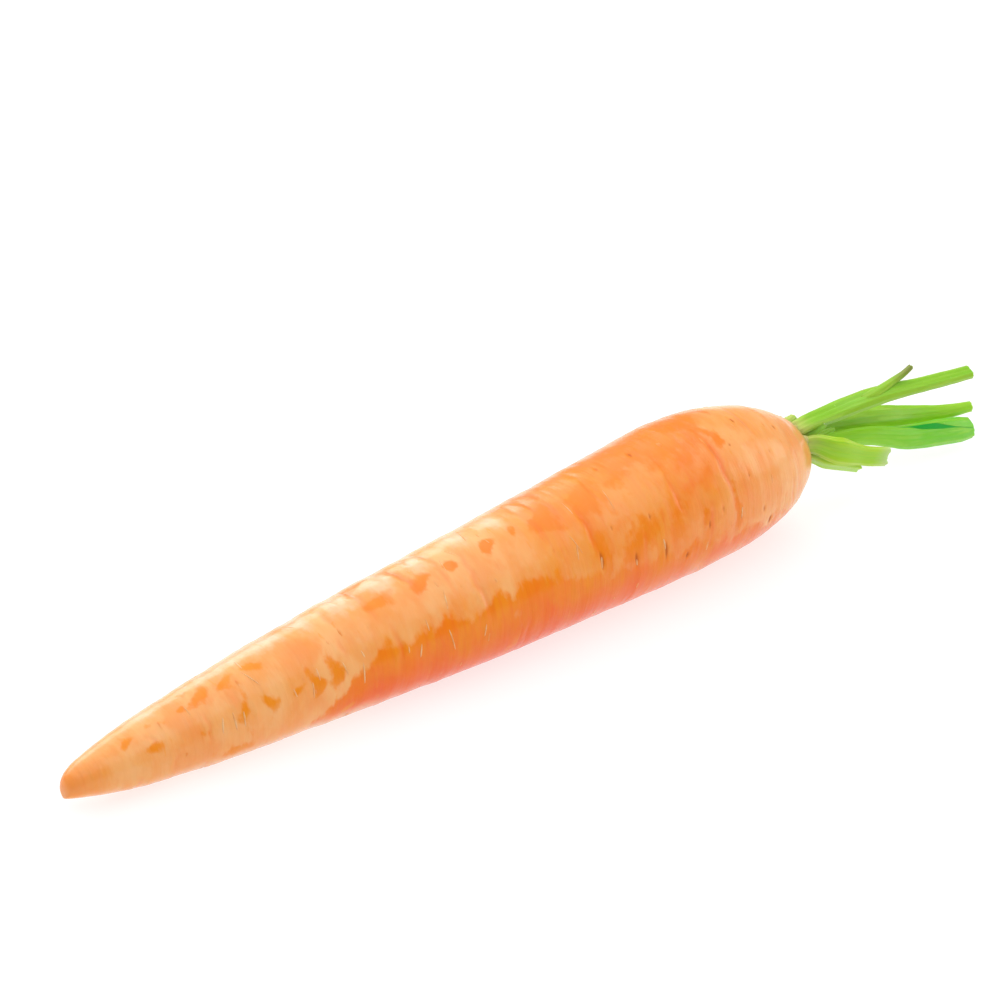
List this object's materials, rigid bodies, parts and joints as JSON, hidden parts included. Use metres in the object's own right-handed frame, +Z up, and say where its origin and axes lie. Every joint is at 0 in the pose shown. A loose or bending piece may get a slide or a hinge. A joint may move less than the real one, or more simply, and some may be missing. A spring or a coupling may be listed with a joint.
{
  "type": "carrot",
  "caption": "Tapering carrot root with a rounded shoulder, lying on its side, with leaf stalks trimmed short at the crown.",
  "frame": {"origin": "on the surface the carrot lies on, below the middle of its length and width", "axes": "+X along the root from its tip to the leaf stalks, +Z up from the surface it lies on, +Y across it"},
  "size_m": [0.2441, 0.0331, 0.0318],
  "materials": {
    "carrot_skin": "fresh washed carrot skin: soft orange, paler where it catches the light, faint rings and fine pale scars, a dull waxy sheen",
    "leaf_stalk": "fresh yellow-green stalk, ribbed along its length, slightly shiny, paler at its foot and where it was torn",
    "young_shoot": "pale yellow-green young shoot, slightly shiny"
  },
  "bodies": {
    "root": {"taproot": "carrot_skin", "forked_stalk": "leaf_stalk", "middle_stalk": "leaf_stalk", "broad_stalk": "leaf_stalk", "front_stub": "leaf_stalk", "low_stub": "leaf_stalk", "back_stub": "leaf_stalk", "heart_shoot": "young_shoot"}
  },
  "joints": []
}
